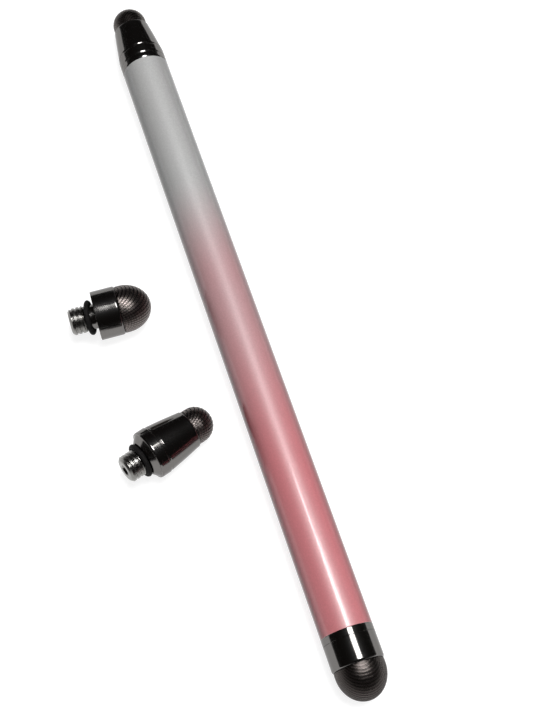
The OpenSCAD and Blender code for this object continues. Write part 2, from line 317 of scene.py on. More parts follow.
class Material:
    """A material being built round one Principled shader."""

    def __init__(self, name: str, place: Place | None = None) -> None:
        """Start the material.

        Args:
            name: The material's name.
            place: The place whose own frame its patterns follow, or None for the pen's frame.
        """
        self.material = bpy.data.materials.new(name)
        self.material.use_nodes = True
        self.sheet = NodeSheet(self.material.node_tree)
        self.shader = self.material.node_tree.nodes["Principled BSDF"]
        self.coordinates = self.sheet.out("ShaderNodeTexCoord", output="Object")
        if place is not None:
            matrix = place.matrix()
            self.coordinates = self.sheet.out("ShaderNodeMapping", {
                "Vector": self.coordinates, "Location": matrix.to_translation(),
                "Rotation": matrix.to_euler()}, vector_type="TEXTURE")

    def set(self, **values: object) -> None:
        """Set or link the shader's inputs, named in lower case with underscores for spaces."""
        for name, value in values.items():
            self.sheet.put(self.shader, name.replace("_", " ").title().replace("Ior", "IOR"), value)

    def group(self, tree: Tree, **values: float) -> dict[str, Wire]:
        """Give the outputs of a shader group, whose numbers are named with underscores for spaces."""
        inputs = {"Vector": self.coordinates} | {name.replace("_", " "): n for name, n in values.items()}
        return self.sheet.wires(self.sheet.add("ShaderNodeGroup", inputs, node_tree=tree))

    def bump(self, height: Wire, distance: float, strength: float = 1.0) -> None:
        """Turn a height, where 1 stands for distance in metres, into the shader's normal."""
        inputs = {"Height": height, "Distance": distance, "Strength": strength}
        self.set(normal=self.sheet.out("ShaderNodeBump", inputs))

    def speckle(self, grains: float, smooth: float, dull: float, depth: float) -> Wire:
        """Roughen the surface with fine grain.

        Args:
            grains: Grains per metre.
            smooth: The roughness on the grains.
            dull: The roughness between them.
            depth: How far the grains stand out, in metres.

        Returns:
            The grain's mask.
        """
        speck = self.group(grain_group(), Grains_per_metre=grains, Contrast=2.0)
        self.set(roughness=self.sheet.ramp(speck["Mask"], 0.0, 1.0, dull, smooth))
        self.bump(speck["Height"], depth)
        return speck["Mask"]


@dataclass(frozen=True)
class PearlLacquer:
    """Satin pearl lacquer that fades from silver to rose, over a bare bevel and bore, with painted shade towards
    its outline.
    """

    silver: Triple = (0.345, 0.345, 0.342)
    blush: Triple = (0.40, 0.225, 0.235)
    rose: Triple = (0.46, 0.14, 0.155)
    bare: Triple = (0.75, 0.74, 0.72)
    fade_start: float = -30 * MM
    fade_middle: float = -6 * MM
    fade_end: float = 34 * MM
    fade_drift: float = 2 * MM
    painted_half: float = 57.96 * MM
    painted_radius: float = 4.2 * MM
    grains: float = 3500.0
    contrast: float = 1.2
    dark_grain: float = 0.94
    light_grain: float = 1.07
    grain_height: float = 0.004 * MM
    # Painted shade: the share of the colour left at the outline.
    edge_dim: float = 0.42
    clear_roughness: float = 0.07
    bare_roughness: float = 0.25

    def build(self) -> Look:
        """Build the lacquer's material.

        Returns:
            The material.
        """
        paint = Material("pearl_lacquer")
        sheet = paint.sheet
        x, y, z = sheet.xyz(paint.coordinates)
        flake = paint.group(grain_group(), Grains_per_metre=self.grains, Contrast=self.contrast)
        drift = sheet.math("MULTIPLY_ADD", flake["Mask"], self.fade_drift, x)
        colour = sheet.mix(sheet.ramp(drift, self.fade_start, self.fade_middle), self.silver, self.blush)
        colour = sheet.mix(sheet.ramp(drift, self.fade_middle, self.fade_end), colour, self.rose)
        colour = sheet.shade(colour, sheet.ramp(flake["Mask"], 0.3, 0.8, self.dark_grain, self.light_grain))
        outside = sheet.math("GREATER_THAN", sheet.length(y, z), self.painted_radius)
        painted = outside * sheet.math("LESS_THAN", sheet.math("ABSOLUTE", x), self.painted_half)
        facing = sheet.facing()
        # Painted shade: the colour darkens towards the outline, where the barrel turns away from the eye.
        colour = sheet.shade(colour, sheet.ramp(facing, 0.12, 0.72, 1.0, self.edge_dim))
        roughness = sheet.ramp(painted, 0.0, 1.0, self.bare_roughness, self.clear_roughness)
        paint.set(base_color=sheet.mix(painted, self.bare, colour), metallic=1.0 - painted, ior=1.33,
                  roughness=roughness, coat_weight=painted * sheet.ramp(facing, 0.1, 0.5, 1.0, 0.0),
                  coat_roughness=0.46, coat_ior=2.05)
        paint.bump(flake["Height"], self.grain_height, 0.5)
        return paint.material


@dataclass(frozen=True)
class TurnedMetal:
    """A turned metal with faint lathe rings and handling smudges, under a thin haze where it has one."""

    name: str
    colour: Triple
    smooth: float
    dull: float
    rings: float
    depth: float
    haze: float = 0.0

    def build(self, place: Place, where: str) -> Look:
        """Build the metal's material for pieces turned about one axis.

        Args:
            place: The axis that the pieces were turned about.
            where: Word for that place, which ends the material's name.

        Returns:
            The material.
        """
        metal = Material(f"{self.name}.{where}", place)
        marks = metal.group(turning_group(), Rings_per_metre=self.rings)
        metal.set(base_color=self.colour, metallic=1.0,
                  roughness=metal.sheet.ramp(marks["Mask"], 0.0, 1.0, self.smooth, self.dull))
        if self.haze > 0:
            metal.set(coat_weight=metal.sheet.ramp(metal.sheet.facing(), 0.3, 0.6, self.haze, 0.0),
                      coat_roughness=0.38, coat_ior=1.5, specular_tint=(0.75, 0.75, 0.75))
        metal.bump(marks["Height"], self.depth)
        return metal.material


BLACK_CHROME = TurnedMetal("black_chrome", (0.142, 0.136, 0.131), smooth=0.07, dull=0.11, rings=6000.0,
                           depth=0.0002 * MM, haze=0.3)
HANDLED_CHROME = replace(BLACK_CHROME, name="handled_chrome", smooth=0.09, dull=0.14, rings=5000.0,
                         depth=0.0006 * MM)
STUD_ALUMINIUM = TurnedMetal("stud_aluminium", (0.225, 0.22, 0.21), smooth=0.24, dull=0.36, rings=14000.0,
                             depth=0.003 * MM)
CLAMP_BRASS = TurnedMetal("clamp_brass", (0.70, 0.52, 0.25), smooth=0.25, dull=0.4, rings=12000.0,
                          depth=0.003 * MM)


@dataclass(frozen=True)
class SoftFinish:
    """A grained finish for rubber, foam, and the near-black sheet of painted shade under the knit."""

    name: str
    dark: Triple
    light: Triple
    smooth: float
    dull: float
    specular: float
    grains: float
    depth: float

    @cache
    def build(self) -> Look:
        """Build the material, once for all the pieces that have it.

        Returns:
            The material.
        """
        soft = Material(self.name)
        mask = soft.speckle(self.grains, self.smooth, self.dull, self.depth)
        soft.set(base_color=soft.sheet.mix(mask, self.dark, self.light), specular_ior_level=self.specular)
        return soft.material


SEAL_RUBBER = SoftFinish("seal_rubber", dark=(0.004, 0.004, 0.004), light=(0.012, 0.011, 0.011), smooth=0.57,
                         dull=0.72, specular=0.08, grains=5000.0, depth=0.01 * MM)
CORE_FOAM = SoftFinish("core_foam", dark=(0.05, 0.05, 0.05), light=(0.12, 0.12, 0.12), smooth=0.8, dull=0.95,
                       specular=0.3, grains=7000.0, depth=0.05 * MM)
# A near-black sheet under the knitted strands: painted shade for the gaps between them.
SHADE_BACKING = SoftFinish("knit_shade_backing", dark=(0.004, 0.0035, 0.0035), light=(0.012, 0.010, 0.010),
                          smooth=0.75, dull=0.9, specular=0.15, grains=8000.0, depth=0.01 * MM)


def arc(centre: Pair, radii: Pair, start: float, end: float, steps: int) -> Outline:
    """Give points along an elliptic arc, whose angles in degrees go from outwards towards the dome's end."""
    angles = (math.radians(start + (end - start) * i / steps) for i in range(steps + 1))
    return [(centre[0] + radii[0] * math.cos(a), centre[1] + radii[1] * math.sin(a)) for a in angles]


def stations(start: Pair, end: Pair, steps: int) -> Outline:
    """Give evenly spaced points from start to end, both included."""
    return [(start[0] + (end[0] - start[0]) * i / steps, start[1] + (end[1] - start[1]) * i / steps)
            for i in range(steps + 1)]


def rounded(corners: Corners, steps: int = 4) -> Outline:
    """Round the corners of a closed outline.

    Args:
        corners: Distance from the axis and height of each corner in millimetres, and where it is rounded, how
            far from it the rounding starts.
        steps: Steps in each rounding.

    Returns:
        The outline's points in metres, with one more beside each rounding where there is room, which keeps
        the straight runs' shading straight.
    """
    beside = 0.03
    points = []
    for i, corner in enumerate(corners):
        here = Vector(corner[:2])
        if len(corner) == 2:
            points.append(here)
            continue
        before, after = (Vector(corners[j % len(corners)][:2]) - here for j in (i - 1, i + 1))
        start, end = here + before.normalized() * corner[2], here + after.normalized() * corner[2]
        if before.length > 2 * corner[2] + 4 * beside:
            points.append(start + before.normalized() * beside)
        for t in (j / steps for j in range(steps + 1)):
            points.append(start * (1 - t) ** 2 + here * 2 * t * (1 - t) + end * t ** 2)
        if after.length > 2 * corner[2] + 4 * beside:
            points.append(end + after.normalized() * beside)
    return [(point.x * MM, point.y * MM) for point in points]


def turned_mesh(name: str, outline: Outline, segments: int, closed: bool, sharp: float = 0.0) -> Mesh:
    """Turn an outline about Z.

    Args:
        name: Name of the mesh.
        outline: Points as distance from the axis and height. A point on the axis becomes a pole.
        segments: Number of sides.
        closed: Whether the last point joins the first one.
        sharp: Angle in degrees past which smoothly shaded edges stay sharp. At 0 the faces stay flat.

    Returns:
        The mesh, closed at its poles, with its faces outwards.
    """
    vertices, rings = [], []
    for radius, height in outline:
        count = 1 if radius < 1e-9 else segments
        rings.append(range(len(vertices), len(vertices) + count))
        for i in range(count):
            angle = math.tau * i / segments
            vertices.append((radius * math.cos(angle), radius * math.sin(angle), height))
    faces = []
    for low, high in zip(rings, rings[1:] + rings[:1] if closed else rings[1:]):
        for i in range(segments):
            a, b = ((ring[i % len(ring)], ring[(i + 1) % len(ring)]) for ring in (low, high))
            face = tuple(dict.fromkeys((*a, b[1], b[0])))
            if len(face) > 2:
                faces.append(face)
    mesh = bpy.data.meshes.new(name)
    mesh.from_pydata(vertices, [], faces)
    mesh.update()
    if sum(p.area * p.center.dot(p.normal) for p in mesh.polygons) < 0:
        mesh.flip_normals()
    if sharp > 0:
        smooth_by_angle(mesh, sharp)
    return mesh


def smooth_by_angle(mesh: Mesh, degrees: float) -> None:
    """Shade a mesh smooth, with sharp edges where its faces meet at more than an angle."""
    mesh.shade_smooth()
    mesh.set_sharp_from_angle(angle=math.radians(degrees))


def add_object(name: str, data: bpy.types.ID, material: Look | None = None) -> Piece:
    """Put a mesh, lamp or camera in the scene as an object, still in its own frame.

    Args:
        name: The object's name.
        data: Its mesh, lamp or camera.
        material: A mesh's material, or None where it comes later.

    Returns:
        The object.
    """
    thing = bpy.data.objects.new(name, data)
    bpy.context.scene.collection.objects.link(thing)
    if material is not None:
        data.materials.append(material)
    return thing


def settle(piece: Piece, place: Place, node: str | None, body: str | None = None) -> None:
    """Move a piece's mesh to its place, attach it to its body and hide the CAD node that it stands for.

    Args:
        piece: The finished piece.
        place: Where its own frame lies.
        node: The CAD node that it stands for, or None.
        body: The body that it moves with, where that isn't the place's own.
    """
    body = body or place.body
    piece.data.transform(place.matrix())
    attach(piece, body)
    if node is not None:
        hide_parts(node)
    LOG.info("%s: %d faces, on %s", piece.name, len(piece.data.polygons), body)


def add_turned(name: str, corners: Corners, place: Place, material: Look, node: str,
               segments: int = 192) -> None:
    """Turn a metal piece from its closed outline and settle it in place of a CAD node."""
    mesh = turned_mesh(name, rounded(corners), segments, True, sharp=40.0)
    settle(add_object(name, mesh, material), place, node)


def apply_nodes(piece: Piece, tree: Tree, values: dict[str, object]) -> None:
    """Run a Geometry Nodes tree on a piece and keep the result as its mesh.

    Args:
        piece: The piece, whose mesh is the tree's input.
        tree: The tree.
        values: The tree's other inputs, by name.
    """
    modifier = piece.modifiers.new(tree.name, "NODES")
    modifier.node_group = tree
    names = {s.name: s.identifier for s in tree.interface.items_tree if s.item_type == "SOCKET"}
    for name, value in values.items():
        modifier[names[name]] = value
    mesh = bpy.data.meshes.new_from_object(piece.evaluated_get(bpy.context.evaluated_depsgraph_get()))
    piece.modifiers.remove(modifier)
    piece.data = mesh


@cache
def knit_tree() -> Tree:
    """Build the tree that knits looped rows over a turned outline.

    The outline is an edge chain from the dome's pole outwards, in the XZ plane. A flat piece of knitting is
    laid over it, so the distance from the pole along the outline is the distance in the flat cloth.

    Returns:
        The tree.
    """
    sheet, given, result = group_tree("knitted_cap", "Geometry", {
        "Outline": "Geometry", "Rows": 43, "Stitches": 26, "Steps in a stitch": 14, "Sides": 5,
        "Strand": "Material"} | FACE_SPARE.inputs(), "Knit")
    outline = sheet.out("GeometryNodeMeshToCurve", {0: given["Outline"]})
    outline_length = sheet.out("GeometryNodeCurveLength", {0: outline})
    count = given["Stitches"] * given["Steps in a stitch"] + 1.0
    line = sheet.out("GeometryNodeCurvePrimitiveLine", {"End": (1.0, 0.0, 0.0)})
    row_curve = sheet.out("GeometryNodeResampleCurve", {"Curve": line, "Count": count})
    starts = sheet.out("GeometryNodeMeshLine", {"Count": given["Rows"]})
    rows = sheet.out("GeometryNodeInstanceOnPoints", {"Points": starts, "Instance": row_curve})
    strands = sheet.out("GeometryNodeRealizeInstances", {0: rows})

    index = sheet.out("GeometryNodeInputIndex")
    row = sheet.math("FLOOR", (index + 0.5) / count)
    stitch = (index - row * count) / given["Steps in a stitch"] - given["Stitches"] / 2.0
    phase = stitch * math.tau
    twice = phase * 2.0
    squeeze = sheet.math("SINE", phase) * given["Leg squeeze"]
    place = stitch + (sheet.math("SINE", twice) * given["Loop overlap"] - squeeze)
    along = place * given["Wale spacing"]
    loop = sheet.math("COSINE", phase) * given["Loop height"]
    across = (row - (given["Rows"] - 1.0) / 2.0 + loop) * given["Course spacing"]
    rib = sheet.math("COSINE", place * math.tau) * given["Wale ridge"]
    lift = sheet.math("COSINE", twice) * given["Loop lift"] + rib

    reach = sheet.length(along, across)
    angle = sheet.math("ARCTAN2", across, along) + given["Turn"]
    cosine, sine = sheet.math("COSINE", angle), sheet.math("SINE", angle)
    sample = sheet.add("GeometryNodeSampleCurve", {"Curves": outline, "Length": reach}, mode="LENGTH")
    spot_x, _, spot_z = sheet.xyz(sheet.wires(sample)["Position"])
    slope_x, _, slope_z = sheet.xyz(sheet.wires(sample)["Tangent"])
    radius = spot_x - slope_z * lift
    height = sheet.math("MULTIPLY_ADD", slope_x, lift, spot_z)
    laid = sheet.out("GeometryNodeSetPosition", {
        "Geometry": strands, "Position": sheet.vector(radius * cosine, radius * sine, height)})
    outwards = slope_z * -1.0
    turned = sheet.out("GeometryNodeSetCurveNormal", {
        "Curve": laid, "Normal": sheet.vector(outwards * cosine, outwards * sine, slope_x)}, mode="FREE")
    past_edge = sheet.math("GREATER_THAN", reach, outline_length * 0.998)
    trimmed = sheet.out("GeometryNodeDeleteGeometry", {
        "Geometry": turned, "Selection": past_edge}, domain="POINT")
    ring = sheet.out("GeometryNodeCurvePrimitiveCircle", {
        "Resolution": given["Sides"], "Radius": given["Strand half width"]})
    flat = sheet.out("GeometryNodeTransform", {
        "Geometry": ring, "Scale": sheet.vector(given["Strand flatness"], 1.0, 1.0)})
    tubes = sheet.out("GeometryNodeCurveToMesh", {"Curve": trimmed, "Profile Curve": flat, "Fill Caps": True})
    smooth = sheet.out("GeometryNodeSetShadeSmooth", {"Geometry": tubes})
    sheet.put(result, "Knit", sheet.dressed(smooth, given["Strand"]))
    return sheet.tree


@cache
def thread_tree() -> Tree:
    """Build the tree that cuts a right-hand screw thread into a finely stepped turned blank.

    Returns:
        The tree.
    """
    sheet, given, result = group_tree("screw_thread", "Geometry", {
        "Blank": "Geometry", "Crest radius": 2.45 * MM, "Depth": 0.28 * MM, "Pitch": 0.8 * MM,
        "Low": -4.75 * MM, "High": -2.1 * MM, "Run-out": 0.25 * MM, "Metal": "Material"}, "Screw")
    x, y, z = sheet.xyz(sheet.out("GeometryNodeInputPosition"))
    radius = sheet.length(x, y)
    phase = z / given["Pitch"] - sheet.math("ARCTAN2", y, x) / math.tau
    groove = sheet.ramp(sheet.math("COSINE", phase * math.tau), 0.0, 0.95)
    fade = sheet.out("ShaderNodeClamp", {0: (given["High"] - z) / given["Run-out"]})
    cut_radius = sheet.math("MINIMUM", radius, given["Crest radius"] - groove * fade * given["Depth"])
    share = cut_radius / sheet.math("MAXIMUM", radius, 1e-7)
    placed = sheet.out("GeometryNodeSetPosition", {
        "Geometry": given["Blank"], "Selection": sheet.math("GREATER_THAN", z, given["Low"]),
        "Position": sheet.vector(x * share, y * share, z)})
    sheet.put(result, "Screw", sheet.dressed(placed, given["Metal"]))
    return sheet.tree


@dataclass(frozen=True)
class Span:
    """How far a piece of a tip reaches in metres: from low to high along the tip's axis, and its radius."""

    low: float
    high: float
    radius: float


@dataclass(frozen=True)
class TipSize:
    """Sizes of one kind of tip in metres, along its axis from its back face."""

    cup_r: float
    run: float
    mouth: float
    mesh: Span
    core: Span
    stud: Span
    seal: Span
    mesh_t: float = 0.3 * MM

    @property
    def swell(self) -> float:
        """Give where the cap has swelled to its full width past the ferrule's mouth."""
        return self.mouth + self.mesh_t

    @property
    def shoulder(self) -> float:
        """Give where the cap's straight run ends and its dome starts."""
        return self.swell + self.run

    @property
    def rise(self) -> float:
        """Give how far the dome rises from its shoulder."""
        return self.mesh.high - self.shoulder

    @classmethod
    def measured(cls, kind: Kind, place: Place, cup_r: float, run: float) -> "TipSize":
        """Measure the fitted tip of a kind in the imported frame.

        Args:
            kind: Which tip.
            place: Where it lies.
            cup_r: Inner radius of the ferrule's cup.
            run: Straight run of the dome past the mesh's swell.

        Returns:
            The sizes.
        """
        side, back = place.axis[0], place.origin[0]

        def span(piece: str) -> Span:
            """Measure a piece's box."""
            low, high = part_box(f"{kind.value}_tip_{piece}")
            return Span(*sorted(((low.x - back) * side, (high.x - back) * side)), (high.y - low.y) / 2)

        pieces = (span(piece) for piece in ("mesh", "core", "stud", "seal"))
        return cls(cup_r, run, span(kind.ferrule).high, *pieces)


@dataclass(frozen=True)
class Cloth:
    """How a cap is knitted, laid over its dome and lit: spacings, loop shape, shading, a painted brightness for
    each tip and the depth of the painted shade between the loops.
    """

    wale: float
    course: float
    turn: float     # in degrees, about the tip's axis
    half_width: float = 0.12 * MM
    flatness: float = 0.42
    overlap: float = 0.17
    height: float = 0.8
    lift: float = -0.04 * MM
    squeeze: float = 0.08
    ridge: float = 0.07 * MM
    sheen: float = 0.75
    # Painted light and shade: scales the fibre's crest colour for this tip, as each tip is lit differently.
    gain: float = 1.3
    # Depth below the cap's outer surface over which painted shade darkens the fibre.
    relief: float = 0.17 * MM

    def depth(self) -> float:
        """Give how far the strands' mean surface lies under the cap's outer one."""
        return self.half_width * self.flatness + abs(self.lift) + 0.6 * self.ridge

    def inputs(self) -> dict[str, float]:
        """Give the knitting tree's number inputs by name."""
        return {"Wale spacing": self.wale, "Course spacing": self.course, "Loop overlap": self.overlap,
                "Strand half width": self.half_width, "Strand flatness": self.flatness,
                "Loop height": self.height, "Loop lift": self.lift, "Leg squeeze": self.squeeze,
                "Wale ridge": self.ridge, "Turn": math.radians(self.turn)}


# Each cloth's crest brightness is painted light and shade: the same fibre, brighter or darker as its tip is lit.
FACE_SPARE = Cloth(0.69 * MM, 0.52 * MM, -30.0)
FACE_SMALL = replace(FACE_SPARE, turn=-50.0, sheen=0.65, gain=1.15)
FACE_FAR = Cloth(0.55 * MM, 0.45 * MM, 30.0, overlap=0.2, squeeze=0.1, ridge=0.05 * MM, sheen=0.8, gain=0.6,
                 relief=0.23 * MM)
PURL_NEAR = Cloth(0.46 * MM, 0.54 * MM, -95.0, overlap=0.2, height=0.6, lift=0.05 * MM, squeeze=0.0,
                  ridge=0.0, gain=0.6, relief=0.32 * MM)


@dataclass(frozen=True)
class KnitFinish:
    """Dark metallic fibre, bright on the loops' crests, with painted shade that goes black between them."""

    # Painted shade: the fibre's colour down between the loops.
    valley: Triple = (0.006, 0.0055, 0.005)
    crest: Triple = (0.176, 0.153, 0.144)
    crest_power: float = 2.2
    smooth: float = 0.22
    dull: float = 0.38
    grains: float = 9000.0
    grain_height: float = 0.004 * MM

    def build(self, tip: "Tip") -> Look:
        """Build the fibre's material for one tip.

        Args:
            tip: The tip whose cap is knitted from it.

        Returns:
            The material.
        """
        fibre = Material(f"knitted_fibre.{tip.name}", tip.place)
        sheet, size = fibre.sheet, tip.size
        high = fibre.group(relief_group(), Radius=size.mesh.radius, Shoulder=size.shoulder, Rise=size.rise,
                           Depth=tip.cloth.relief)["Mask"]
        mask = fibre.speckle(self.grains, self.smooth, self.dull, self.grain_height)
        # Painted shade: dark between the loops, below the cap's outer surface, full colour on the crests.
        lit = high ** self.crest_power * sheet.ramp(mask, 0.0, 1.0, 0.7, 1.1)
        # Painted light and shade: this tip's own brightness of the same fibre.
        crest = tuple(value * tip.cloth.gain for value in self.crest)
        fibre.set(base_color=sheet.mix(lit, self.valley, crest), metallic=1.0)
        return fibre.material


@dataclass
class Tip:
    """One screw-in tip: threaded stud, seal, ferrule, knitted cap and soft core."""

    name: str
    kind: Kind
    place: Place
    seal_body: str
    size: TipSize
    cloth: Cloth
    seal_slide: float = 0.0
    seal_side: float = 0.0
    chrome: TurnedMetal = BLACK_CHROME

    skirt_shown: float = 1.0 * MM
    skirt_gap: float = 0.03 * MM
    backing_t: float = 0.06 * MM
    backing_gap: float = 0.02 * MM
    core_gap: float = 0.06 * MM
    clamp_wall: float = 0.43 * MM
    clamp_depth: float = 0.87 * MM
    pitch: float = 0.8 * MM
    thread_depth: float = 0.2 * MM
    thread_length: float = 2.72 * MM
    drill_r: float = 0.8 * MM
    drill_depth: float = 3.6 * MM
    shank_r: float = 1.6 * MM
    head_r: float = 2.0 * MM
    head_t: float = 0.4 * MM
    bevel: float = 0.4 * MM
    edge: float = 0.08 * MM
    thread_start: float = 0.03 * MM
    flash: float = 0.02 * MM
    seal_gap: float = 0.03 * MM

    def cap_outline(self, sink: float, steps: int) -> Outline:
        """Give the outline of the knitted cap, from its pole down into the ferrule.

        Args:
            sink: How far it lies under the cap's outer surface.
            steps: Steps round the dome.

        Returns:
            The outline's points.
        """
        s = self.size
        skirt = s.cup_r - self.skirt_gap - sink
        wide = s.mesh.radius - sink
        crown = arc((0.0, s.shoulder), (wide, s.rise - sink), 90, 0, steps)
        tuck = [(skirt + (wide - skirt) * math.cos(a), s.mouth + s.mesh_t * (1 - math.sin(a)))
                for a in (math.radians(18 * i) for i in range(1, 6))]
        return [(0.0, crown[0][1]), *crown[1:], (wide, s.swell), *tuck, (skirt, s.mouth - self.skirt_shown)]

    def make_knit(self) -> Piece:
        """Knit the cap's strands over its outline, in loops that interlock row by row.

        Returns:
            The strands.
        """
        cloth = self.cloth
        outline = self.cap_outline(cloth.depth(), 40)
        mesh = bpy.data.meshes.new("cap_outline")
        mesh.from_pydata([(r, 0.0, z) for r, z in outline], [(i, i + 1) for i in range(len(outline) - 1)], [])
        piece = add_object(f"{self.name}.knit", mesh)
        reach = sum(math.dist(a, b) for a, b in zip(outline, outline[1:]))
        apply_nodes(piece, knit_tree(), cloth.inputs() | {
            "Rows": 2 * math.ceil(reach / cloth.course) + 1, "Stitches": 2 * math.ceil(reach / cloth.wale),
            "Strand": KnitFinish().build(self)})
        self.comb(piece.data)
        settle(piece, self.place, f"{self.name}_mesh")
        return piece

    def comb(self, mesh: Mesh) -> None:
        """Lean the strands' shading towards the dome's, as flat bundles of fine fibres reflect.

        Args:
            mesh: The knitted strands, in the tip's own frame.
        """
        s = self.size
        spots, strands = (np.empty(len(mesh.vertices) * 3) for _ in range(2))
        mesh.vertices.foreach_get("co", spots)
        mesh.vertex_normals.foreach_get("vector", strands)
        spots, strands = spots.reshape(-1, 3), strands.reshape(-1, 3)
        dome = spots / (s.mesh.radius ** 2, s.mesh.radius ** 2, s.rise ** 2)
        dome[:, 2] = np.maximum(spots[:, 2] - s.shoulder, 0.0) / s.rise ** 2
        dome /= np.linalg.norm(dome, axis=1, keepdims=True)
        combed = strands + (dome - strands) * self.cloth.sheen
        combed /= np.linalg.norm(combed, axis=1, keepdims=True)
        mesh.normals_split_custom_set_from_vertices(combed.tolist())

    def make_backing(self, knit: Piece, core: Piece) -> None:
        """Lay a near-black sheet under the knitted strands, as painted shade in the gaps between them.

        Args:
            knit: The strands that lie on it; not used.
            core: The soft core that it is stretched over; not used.
        """
        inner_sink = self.size.mesh_t - self.backing_gap
        outer, inner = (self.cap_outline(sink, 28) for sink in (inner_sink - self.backing_t, inner_sink))
        mesh = turned_mesh("backing", outer + inner[::-1], 72, False, sharp=32.0)
        piece = add_object(f"{self.name}.knit_shade_backing", mesh, SHADE_BACKING.build())
        settle(piece, self.place, None)
        area = sum(math.pi * (a[0] + b[0]) * math.dist(a, b) for a, b in zip(outer, outer[1:]))
        across = 2 * math.sqrt(area / math.pi)
        LOG.info("%s: cut from a disc %.1f mm across", piece.name, across / MM)

    def make_core(self) -> Piece:
        """Make the soft core that fills the cap, with its stem.

        Returns:
            The core.
        """
        s = self.size
        neck_r = s.cup_r - s.mesh_t - self.core_gap
        stem_r = neck_r - self.clamp_wall
        ring_top = s.mouth - self.clamp_depth
        low, high, wide = s.core.low, s.core.high, s.core.radius
        dome = arc((0.0, s.shoulder), (wide, high - s.shoulder), 90, 0, 20)
        outline = [(0.0, high), *dome[1:], (wide, s.swell), (neck_r, s.mouth), (neck_r, ring_top),
                   (stem_r, ring_top), (stem_r, low), (0.0, low)]
        mesh = turned_mesh("core", outline, 64, False, sharp=32.0)
        piece = add_object(f"{self.name}.core", mesh, CORE_FOAM.build())
        settle(piece, self.place, f"{self.name}_core")
        return piece

    def make_screw(self) -> None:
        """Turn the stud with its drilled, countersunk end and its peened head, then cut its thread."""
        s, edge = self.size, self.edge
        end, head, crest = s.stud.low, s.stud.high, s.stud.radius
        thread_top = end + self.thread_length
        hole, head_foot = end + self.drill_depth, head - self.head_t
        hole_point = hole + self.drill_r * 0.6
        mouth_depth, mouth_r = 6 * edge, self.drill_r + 3 * edge
        outline = [
            (0.0, hole_point), (self.drill_r, hole), (self.drill_r, end + mouth_depth),
            (mouth_r, end + edge / 2), (mouth_r + 0.4 * edge, end), (crest - self.bevel - edge, end),
            *stations((crest - self.bevel, end + edge / 2), (crest, end + self.bevel), 12),
            *stations((crest, end + self.bevel + self.thread_start), (crest, thread_top - edge), 72),
            (crest - edge, thread_top), (self.shank_r, thread_top), (self.shank_r, head_foot),
            (self.head_r, head_foot), *arc((self.head_r - edge, head - edge), (edge, edge), 0, 90, 4),
            (0.0, head)]
        piece = add_object(f"{self.name}.screw", turned_mesh("screw", outline, 112, False))
        apply_nodes(piece, thread_tree(), {
            "Crest radius": crest, "Depth": self.thread_depth, "Pitch": self.pitch, "Low": end + edge / 4,
            "High": thread_top - edge, "Metal": STUD_ALUMINIUM.build(self.place, self.name)})
        smooth_by_angle(piece.data, 40.0)
        settle(piece, self.place, f"{self.name}_stud")

    def make_seal(self) -> None:
        """Mould the rubber seal, a round cord with the faint flash line of its mould."""
        seal = self.size.seal
        cord, middle = (seal.high - seal.low) / 2, (seal.high + seal.low) / 2
        cord_r = seal.radius - cord
        steps, parting = 28, 0.985
        ring = []
        for angle in (math.tau * i / steps for i in range(steps)):
            ridge = self.flash * max(0.0, abs(math.cos(angle)) - parting) / (1 - parting)
            radius = cord - self.flash + ridge
            ring.append((cord_r + radius * math.cos(angle), middle + radius * math.sin(angle)))
        mesh = turned_mesh("seal", ring, 96, True)
        if self.seal_slide > 0:
            lean = self.seal_slide / cord_r
            for vertex in mesh.vertices:
                across = vertex.co.x * math.cos(self.seal_side) + vertex.co.y * math.sin(self.seal_side)
                vertex.co.z += self.seal_slide + self.seal_gap - lean * across
        smooth_by_angle(mesh, 60.0)
        settle(add_object(f"{self.name}.o_ring", mesh, SEAL_RUBBER.build()), self.place,
               f"{self.name}_seal", self.seal_body)

    def ferrule_corners(self) -> Corners:
        """Give the corners of the collar or nose, in millimetres.

        Returns:
            The closed outline's corners.
        """
        hole, neck, neck_end, outside, floor = 1.63, 2.25, -2.0, 4.5, 1.2
        if self.kind is Kind.LARGE:
            cup, length = 4.2, 4.45
            return [(hole, neck_end), (neck, neck_end, 0.1), (neck, 0.0, 0.12), (outside, 0.0, 0.05),
                    (outside, length, 0.45), (cup, length, 0.04), (cup, floor, 0.1), (hole, floor)]
        cup, cup_floor, passage, length, front, lip = 3.2, 4.6, 2.1, 8.8, 3.5, 0.22
        seat_end, seat_r, band_end, groove, groove_end = -0.95, 3.13, 1.9, 4.32, 2.2
        taper_r, crown, steps = 4.41, 0.05, 12
        taper = [(taper_r - (taper_r - front) * t + crown * math.sin(math.pi * t),
                  groove_end + (length - lip - groove_end) * t) for t in (i / steps for i in range(1, steps))]
        return [(hole, neck_end), (neck, neck_end, 0.1), (neck, seat_end, 0.05), (seat_r, seat_end, 0.06),
                (4.22, 0.0, 0.05), (4.4, 0.0, 0.03), (outside, 0.27, 0.12), (outside, band_end, 0.1),
                (groove, band_end, 0.04), (groove, groove_end, 0.02), (4.388, 2.39, 0.09), *taper,
                (front, length, 0.3), (cup, length, 0.04), (cup, cup_floor, 0.1), (passage, cup_floor),
                (passage, floor), (hole, floor)]

    def make_ferrule(self) -> None:
        """Turn the collar or nose with its lip rolled over the cap, and plate it in black chrome."""
        part, chrome = self.kind.ferrule, self.chrome.build(self.place, self.name)
        add_turned(f"{self.name}.turned_{part}", self.ferrule_corners(), self.place, chrome,
                   f"{self.name}_{part}", segments=160)

    def dress_clamp_ring(self) -> None:
        """Give the CAD's clamp ring its brass."""
        brass = CLAMP_BRASS.build(self.place, self.name)
        mesh = frame["nodes"][f"{self.name}_clamp_ring"].data
        for i in range(len(mesh.materials)):
            mesh.materials[i] = brass
        LOG.info("%s_clamp_ring dressed in %s", self.name, brass.name)

    def build(self) -> None:
        """Make and dress every piece of the tip."""
        self.make_backing(self.make_knit(), self.make_core())
        self.make_screw()
        self.make_seal()
        self.make_ferrule()
        self.dress_clamp_ring()


